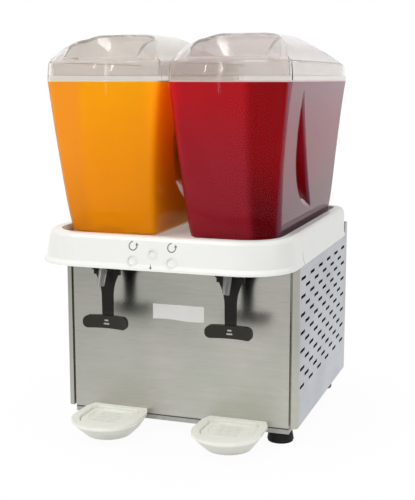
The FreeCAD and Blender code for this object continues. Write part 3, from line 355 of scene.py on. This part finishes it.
clears = {
    "tank_clear": {"tint": (0.94, 0.92, 0.90), "rough": 0.02, "bend": 1.17, "smudge": 0.05, "haze": 0.0,
                   "mist": (0.835, 0.81, 0.785)},
    "lid_clear": {"tint": (0.89, 0.865, 0.85), "rough": 0.04, "bend": 1.22, "smudge": 0.05, "haze": 0.15},
    "nozzle_plastic": {"tint": (0.86, 0.86, 0.83), "rough": 0.28, "bend": 1.35, "smudge": 0.10, "haze": 0.10},
}
clearWear = {"smudge": 0.035, "smudgeFrom": 0.45, "smudgeTo": 0.8, "smudgeShade": 0.96, "ripple": 0.05,
             "rippleDepth": 0.0006, "rippleStrength": 0.35, "mistLow": 544.5, "mistHigh": 553.5}


def clearPlastic(name, look):
    wear = clearWear
    finish = Finish(name, IOR=look["bend"], TransmissionWeight=1.0 - look["haze"])
    smudge = finish.noise(wear["smudge"], 4, 0.6).step(wear["smudgeFrom"], wear["smudgeTo"])
    tint = finish.blend(smudge, look["tint"], shade(look["tint"], wear["smudgeShade"]))
    if "mist" in look:
        # the wall is tinted greyer in a band between the drink and the lid's skirt
        low = finish.height(wear["mistLow"], wear["mistLow"] + 1)
        high = finish.height(wear["mistHigh"], wear["mistHigh"] + 1)
        tint = finish.blend(low * (1 - high), tint, look["mist"])
    finish.set(BaseColor=tint)
    finish.set(Roughness=look["rough"] + smudge * look["smudge"])
    ripple = finish.noise(wear["ripple"], 1)
    finish.set(Normal=finish.bump(ripple, wear["rippleDepth"], wear["rippleStrength"]))
    return finish.material


# Drinks: a soft gradient from top to bottom, which is painted light, with pulp or depth as faint clouds

drinks = {
    "left": {"name": "orange", "top": (1.0, 0.405, 0.001), "low": (0.98, 0.34, 0.004),
             "corner": (0.98, 0.34, 0.02), "sideLow": (0.90, 0.30, 0.01), "cloud": (0.98, 0.33, 0.001),
             "glow": (0.33, 0.034, 0.001), "veil": (0.0, 0.0, 0.0), "froth": (0.90, 0.76, 0.50)},
    "right": {"name": "berry", "top": (0.48, 0.007, 0.012), "low": (0.33, 0.016, 0.030),
              "corner": (0.26, 0.001, 0.003), "sideLow": (0.12, 0.001, 0.003), "cloud": (0.31, 0.004, 0.010),
              "glow": (0.24, 0.002, 0.002), "veil": (0.025, 0.10, 0.13), "froth": (0.82, 0.60, 0.59)},
}
# rise, outer and foot are heights in drawing millimetres
drinkShade = {"rise": (310, 560), "risePower": 2.5, "cloud": 0.05, "cloudFrom": 0.4, "cloudTo": 0.8,
              "cloudTone": 0.35, "outer": (330, 450), "cornerFrom": 0.126, "cornerTo": 0.142,
              "cornerTone": 0.9, "rough": 0.4, "roughCloud": 0.1, "innerFrom": 0.006, "innerTo": 0.034,
              "foot": 306, "flare": 0.101, "veilFrom": 0.1665, "veilTo": 0.1705, "veilLow": 0.3}
frothShade = {"rough": 0.5, "bubblesPerMetre": 450, "from": 0.2, "to": 0.7, "tone": 0.5, "shade": 0.85,
              "depth": 0.0004, "strength": 0.6}


def drinkFinish(side, look):
    tune = drinkShade
    finish = Finish("drink_" + look["name"], SpecularIORLevel=0.0, EmissionStrength=1.0)
    up = finish.height(*tune["rise"])
    cloud = finish.noise(tune["cloud"], 3, 0.55, (1, 1, 0.5)).step(tune["cloudFrom"], tune["cloudTo"])
    outward = finish.axis("X") * sideSigns[side]
    # painted light: the drink is brighter towards its top
    colour = finish.blend(up ** tune["risePower"], look["low"], look["top"])
    colour = finish.blend(cloud * tune["cloudTone"], colour, look["cloud"])
    # painted shade: the outer corner is darker, and the outer wall is darker low down
    outer = finish.blend(finish.height(*tune["outer"]), look["sideLow"], look["corner"])
    corner = outward.step(tune["cornerFrom"], tune["cornerTo"]) * tune["cornerTone"]
    finish.set(BaseColor=finish.blend(corner, colour, outer))
    finish.set(Roughness=tune["rough"] + cloud * tune["roughCloud"])
    # light that comes through the drink brightens the shaded gap between the tanks, and a pale veil of
    # scattered light lies on the outer wall, which flares outwards as it rises
    inward = 1 - outward.step(tune["innerFrom"], tune["innerTo"])
    flared = outward - (finish.axis("Z") - level(tune["foot"])) * tune["flare"]
    veiled = flared.step(tune["veilFrom"], tune["veilTo"]) * (tune["veilLow"] + up * (1 - tune["veilLow"]))
    light = finish.blend(inward, (0, 0, 0), look["glow"])
    finish.set(EmissionColor=finish.blend(veiled, light, look["veil"]))
    return finish.material


def frothFinish(look):
    tune = frothShade
    finish = Finish("froth_" + look["name"], Roughness=tune["rough"])
    values = {"Vector": finish.place(), "Scale": tune["bubblesPerMetre"]}
    bubble = finish.node("TexVoronoi", {"feature": "F1"}, values, "Distance")
    edge = bubble.step(tune["from"], tune["to"]) * tune["tone"]
    finish.set(BaseColor=finish.blend(edge, look["froth"], shade(look["froth"], tune["shade"])))
    finish.set(Normal=finish.bump(bubble, tune["depth"], tune["strength"]))
    return finish.material


makers = [(plastics, mouldedPlastic), (steels, brushedSteel), (metals, coatedMetal), (clears, clearPlastic)]
finishes = {}
for table, maker in makers:
    for slotName, look in table.items():
        finishes[slotName] = maker(slotName, look)
print("finishes made:", len(finishes))

# Every node of the frame takes the finish of its slot, apart from those with one of their own

ownFinish = {"base_pan": "pan_steel", "drip_tray_left": "bowl_plastic", "drip_tray_right": "bowl_plastic"}
for row in frame["record"]["subparts"]:
    mesh = frame["nodes"][row["node"]].data
    mesh.materials.clear()
    mesh.materials.append(finishes[ownFinish.get(row["node"], row["material_slot"])])


def newPiece(name, bm, material, body, sharp=30.0):
    mesh = bpy.data.meshes.new(name)
    bm.to_mesh(mesh)
    bm.free()
    mesh.shade_smooth()
    mesh.set_sharp_from_angle(angle=math.radians(sharp))
    mesh.materials.append(material)
    piece = bpy.data.objects.new(name, mesh)
    scene.collection.objects.link(piece)
    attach(piece, body)


# Drink and froth fill the tank's own inner wall, taken from the tank

filling = {"low": 304.9, "top": 543.6, "frothTop": 545.4, "domeY": 180.0, "boreRadius": 60.0,
           "boreTop": 456.0, "boreSegments": 64, "contact": 1.004, "merge": 0.000002,
           "cutRoom": 0.0000005, "rimRoom": 0.0005, "sharp": 40}


def islands(bm):
    left = set(bm.faces)
    found = []
    while left:
        group = {left.pop()}
        edge = list(group)
        while edge:
            near = [f for e in edge.pop().edges for f in e.link_faces if f in left]
            left.difference_update(near)
            group.update(near)
            edge.extend(near)
        found.append(group)
    return found


def breadth(faces):
    xs = [v.co.x for f in faces for v in f.verts]
    return max(xs) - min(xs)


def middleOf(values):
    return (min(values) + max(values)) / 2


def fillFlat(bm, edges):
    bmesh.ops.triangle_fill(bm, edges=edges, normal=(0, 0, 1), use_beauty=True)


def tankFilling(side, low, top, bore):
    bm = bmesh.new()
    bm.from_mesh(frame["nodes"]["tank_" + side].data)
    bmesh.ops.remove_doubles(bm, verts=bm.verts, dist=filling["merge"])
    for height, above in ((top, True), (low, False)):
        everything = bm.verts[:] + bm.edges[:] + bm.faces[:]
        bmesh.ops.bisect_plane(bm, geom=everything, dist=filling["cutRoom"], plane_co=at(0, 0, height),
                               plane_no=(0, 0, 1), clear_outer=above, clear_inner=not above)
    walls = sorted(islands(bm), key=breadth, reverse=True)
    keep = walls[1]  # the widest wall is the tank's outside, the next its inside
    bmesh.ops.delete(bm, geom=[f for f in bm.faces if f not in keep], context="FACES")
    border = [e for e in bm.edges if e.is_boundary]
    nearLow = level(low) + filling["rimRoom"]
    upper = [e for e in border if e.verts[0].co.z > nearLow]
    lower = [e for e in border if e.verts[0].co.z <= nearLow]
    fillFlat(bm, upper)
    if bore:
        # room from below for the cold dome and the impeller, which stay when the tank is lifted
        centre = at(0, filling["domeY"], low)
        centre.x = middleOf([v.co.x for v in bm.verts])
        ring = bmesh.ops.create_circle(bm, segments=filling["boreSegments"],
                                       radius=filling["boreRadius"] / 1000,
                                       matrix=Matrix.Translation(centre))
        rim = list({e for v in ring["verts"] for e in v.link_edges})
        grown = bmesh.ops.extrude_edge_only(bm, edges=rim)["geom"]
        raised = [g for g in grown if isinstance(g, bmesh.types.BMVert)]
        bmesh.ops.translate(bm, verts=raised, vec=(0, 0, (filling["boreTop"] - low) / 1000))
        fillFlat(bm, [e for e in bm.edges if e.verts[0] in raised and e.verts[1] in raised])
        lower = lower + rim
    fillFlat(bm, lower)
    bmesh.ops.recalc_face_normals(bm, faces=bm.faces)
    # the drink wets the wall, so its skin lies a hair inside the plastic
    middle = Vector((middleOf([v.co.x for v in bm.verts]), middleOf([v.co.y for v in bm.verts]), 0))
    wetted = (filling["contact"], filling["contact"], 1)
    bmesh.ops.scale(bm, vec=wetted, space=Matrix.Translation(-middle), verts=bm.verts)
    return bm


for side, look in drinks.items():
    drink = tankFilling(side, filling["low"], filling["top"], True)
    newPiece("drink_" + side, drink, drinkFinish(side, look), "tank_" + side, filling["sharp"])
    froth = tankFilling(side, filling["top"], filling["frothTop"], False)
    newPiece("froth_" + side, froth, frothFinish(look), "tank_" + side, filling["sharp"])
print("drinks made")

# Printed symbols on the deck's leaning apron: a turning arrow above each stirrer switch, a thermometer
# below the cooling switch. They are drawn flat, x to the right and y up, and pressed on.

prints = {"above": 0.12, "sunk": 0.05, "rayFrom": -400.0}
arrow = {"x": 31.2, "aside": -0.4, "z": 299.9, "radius": 6.4, "stroke": 1.6, "sweep": 285.0, "start": 95.0,
         "steps": 28, "head": 3.0}
thermo = {"x": -0.5, "z": 271.6, "stem": 4.2, "stemParts": 6, "stroke": 1.0, "bulb": 1.7,
          "bulbSegments": 20, "bulbCuts": 3, "lean": 0.5}
deckSkin = BVHTree.FromObject(frame["nodes"]["top_deck"], bpy.context.evaluated_depsgraph_get())


def pressOnApron(bm, x, z):
    # each corner goes straight back from the front onto the deck, and out again by its height
    for vert in bm.verts:
        u, v, w = vert.co
        touch = deckSkin.ray_cast(at(x + u, prints["rayFrom"], z + v), Vector((0, 1, 0)))[0]
        vert.co = touch - Vector((0, w / 1000, 0))


def thicken(bm):
    grown = bmesh.ops.extrude_face_region(bm, geom=bm.faces[:])["geom"]
    raised = [g for g in grown if isinstance(g, bmesh.types.BMVert)]
    bmesh.ops.translate(bm, verts=raised, vec=(0, 0, prints["above"] + prints["sunk"]))
    bmesh.ops.recalc_face_normals(bm, faces=bm.faces)


def turningArrow(bm):
    low = -prints["sunk"]
    radius = arrow["radius"]
    inner = bm.verts.new((radius - arrow["stroke"] / 2, 0, low))
    outer = bm.verts.new((radius + arrow["stroke"] / 2, 0, low))
    edge = bm.edges.new((inner, outer))
    start = Matrix.Rotation(math.radians(arrow["start"]), 3, "Z")
    bmesh.ops.rotate(bm, verts=[inner, outer], cent=(0, 0, 0), matrix=start)
    bmesh.ops.spin(bm, geom=[inner, outer, edge], cent=(0, 0, low), axis=(0, 0, 1), dvec=(0, 0, 0),
                   angle=math.radians(arrow["sweep"]), steps=arrow["steps"], use_duplicate=False)
    # the head is a triangle at the end of the stroke, whose first corner points along the turn
    turn = math.radians(arrow["start"] + arrow["sweep"])
    tip = Matrix.Translation((radius * math.cos(turn), radius * math.sin(turn), low))
    ahead = tip @ Matrix.Rotation(turn, 4, "Z")
    bmesh.ops.create_circle(bm, cap_ends=True, segments=3, radius=arrow["head"], matrix=ahead)


for side, sign in sideSigns.items():
    bm = bmesh.new()
    turningArrow(bm)
    thicken(bm)
    pressOnApron(bm, sign * arrow["x"] + arrow["aside"], arrow["z"])
    newPiece("stir_symbol_" + side, bm, finishes["symbol_print"], "cabinet")

bm = bmesh.new()
bmesh.ops.create_circle(bm, cap_ends=True, cap_tris=True, segments=thermo["bulbSegments"],
                        radius=thermo["bulb"])
bmesh.ops.subdivide_edges(bm, edges=bm.edges[:], cuts=thermo["bulbCuts"], use_grid_fill=True)
bmesh.ops.translate(bm, verts=bm.verts, vec=(0, -thermo["stem"] / 2, 0))
bmesh.ops.create_grid(bm, x_segments=1, y_segments=thermo["stemParts"], size=0.5,
                      matrix=Matrix.Diagonal((thermo["stroke"], thermo["stem"], 1, 1)))
bmesh.ops.translate(bm, verts=bm.verts, vec=(0, 0, -prints["sunk"]))
thicken(bm)
for vert in bm.verts:
    vert.co.x -= vert.co.y * thermo["lean"]
pressOnApron(bm, thermo["x"], thermo["z"])
newPiece("cold_symbol", bm, finishes["symbol_print"], "cabinet")

# Two plain bars printed in the hollow of each paddle, the lower one wider

paddle = {"x": 103.5, "z": 163.2, "frontY": -51.5, "bend": 89.0, "barWidth": 8.5, "barHeight": 2.6,
          "gap": 5.6, "lower": 1.15, "upper": 0.8, "barParts": 8, "corner": 0.9, "cornerSegments": 3}
for side, sign in sideSigns.items():
    bm = bmesh.new()
    for row, wide in ((-0.5, paddle["lower"]), (0.5, paddle["upper"])):
        shape = Matrix.Translation((0, row * paddle["gap"], -prints["sunk"]))
        shape = shape @ Matrix.Diagonal((paddle["barWidth"] * wide, paddle["barHeight"], 1, 1))
        bmesh.ops.create_grid(bm, x_segments=paddle["barParts"], y_segments=1, size=0.5, matrix=shape)
    corners = [v for v in bm.verts if len(v.link_edges) == 2]
    bmesh.ops.bevel(bm, geom=corners, offset=paddle["corner"], segments=paddle["cornerSegments"],
                    profile=0.5, affect="VERTICES", material=-1)
    thicken(bm)
    for vert in bm.verts:
        u, v, w = vert.co
        surface = paddle["frontY"] - paddle["bend"] + math.sqrt(paddle["bend"] ** 2 - u ** 2)
        vert.co = at(sign * paddle["x"] + u, surface - w, paddle["z"] + v)
    newPiece("paddle_mark_" + side, bm, finishes["paddle_print"], "lever_" + side)
print("prints made")

# Camera at the photograph's angle

view = {"place": (0.5581, -1.6152, 0.5747), "tilt": 80.36, "turn": 18.92, "lens": 72.2}
camera = bpy.data.objects.new("camera", bpy.data.cameras.new("camera"))
camera.data.lens = view["lens"]
camera.location = view["place"]
camera.rotation_euler = (math.radians(view["tilt"]), 0, math.radians(view["turn"]))
scene.collection.objects.link(camera)
scene.camera = camera

# Studio: pale floor that runs out into white, soft lamps, even sky. The two glints are seen only in
# mirrored rays, as small windows in the lids.

studio = {"floor": (0.85, 0.85, 0.845), "floorRough": 0.55, "floorHalf": 14.0, "floorZ": -0.0002,
          "fadeFrom": 0.15, "fadeTo": 0.55, "nearFade": 0.95, "sky": 0.60, "aim": (0.0, 0.0, 0.32),
          "bounces": 32}
lamps = {
    "key": {"place": (-1.1, -1.7, 2.7), "size": (1.6, 1.3), "power": 31.0},
    "fill": {"place": (2.3, -0.9, 1.5), "size": (1.4, 1.6), "power": 8.0},
    "top": {"place": (0.0, -0.35, 2.6), "size": (1.6, 1.6), "power": 12.0},
    "strip": {"place": (-2.8, -7.7, 1.45), "size": (0.36, 2.6), "power": 16.0},
    "glintLeft": {"place": (-1.41, -2.83, 0.71), "size": (0.07, 0.10), "power": 1.0, "mirrored": True},
    "glintRight": {"place": (-0.87, -2.96, 0.71), "size": (0.07, 0.10), "power": 1.0, "mirrored": True},
}


def seenDirectly(shading):
    # 1 for camera rays, and for mirrored and refracted ones, so that gloss and glass show the white too
    kinds = ("Is Camera Ray", "Is Glossy Ray", "Is Transmission Ray")
    rays = [shading.node("LightPath", out=kind) for kind in kinds]
    return (rays[0] + rays[1] + rays[2]).step(0.0, 1.0)


bm = bmesh.new()
bmesh.ops.create_grid(bm, x_segments=1, y_segments=1, size=studio["floorHalf"],
                      matrix=Matrix.Translation((0, 0, studio["floorZ"])))
floorMesh = bpy.data.meshes.new("floor")
bm.to_mesh(floorMesh)
bm.free()
floor = bpy.data.objects.new("floor", floorMesh)
scene.collection.objects.link(floor)
floorFinish = Finish("floor", BaseColor=studio["floor"], Roughness=studio["floorRough"])
apart = floorFinish.node("VectorMath", {"operation": "LENGTH"},
                         {0: floorFinish.node("TexCoord", out="Object")}, "Value")
fade = apart.step(studio["fadeFrom"], studio["fadeTo"]) * (1 - studio["nearFade"]) + studio["nearFade"]
fade = fade * seenDirectly(floorFinish)
glow = floorFinish.node("Emission", None, {"Color": (1, 1, 1), "Strength": 1.0})
plain = Wire(floorFinish, floorFinish.shader.outputs[0])
mixed = floorFinish.node("MixShader", None, {0: fade, 1: plain, 2: glow})
floorFinish.feed(floorFinish.output.inputs[0], mixed)
floorMesh.materials.append(floorFinish.material)

scene.world = bpy.data.worlds.new("studio")
scene.cycles.max_bounces = studio["bounces"]  # clear walls stand many deep behind each other
scene.cycles.transmission_bounces = studio["bounces"]
scene.cycles.glossy_bounces = studio["bounces"]
sky = Shading(scene.world)
skyNode = sky.tree.nodes["Background"]
sky.feed(skyNode.inputs["Color"], (1.0, 1.0, 1.0))
sky.feed(skyNode.inputs["Strength"], seenDirectly(sky) * (1 - studio["sky"]) + studio["sky"])

for name, lamp in lamps.items():
    data = bpy.data.lights.new(name, "AREA")
    data.shape = "RECTANGLE"
    data.size, data.size_y = lamp["size"]
    data.energy = lamp["power"]
    light = bpy.data.objects.new(name, data)
    light.location = lamp["place"]
    heading = Vector(studio["aim"]) - Vector(lamp["place"])
    light.rotation_euler = heading.to_track_quat("-Z", "Y").to_euler()
    if "mirrored" in lamp:
        light.visible_diffuse = False
        light.visible_transmission = False
    scene.collection.objects.link(light)
print("studio ready")
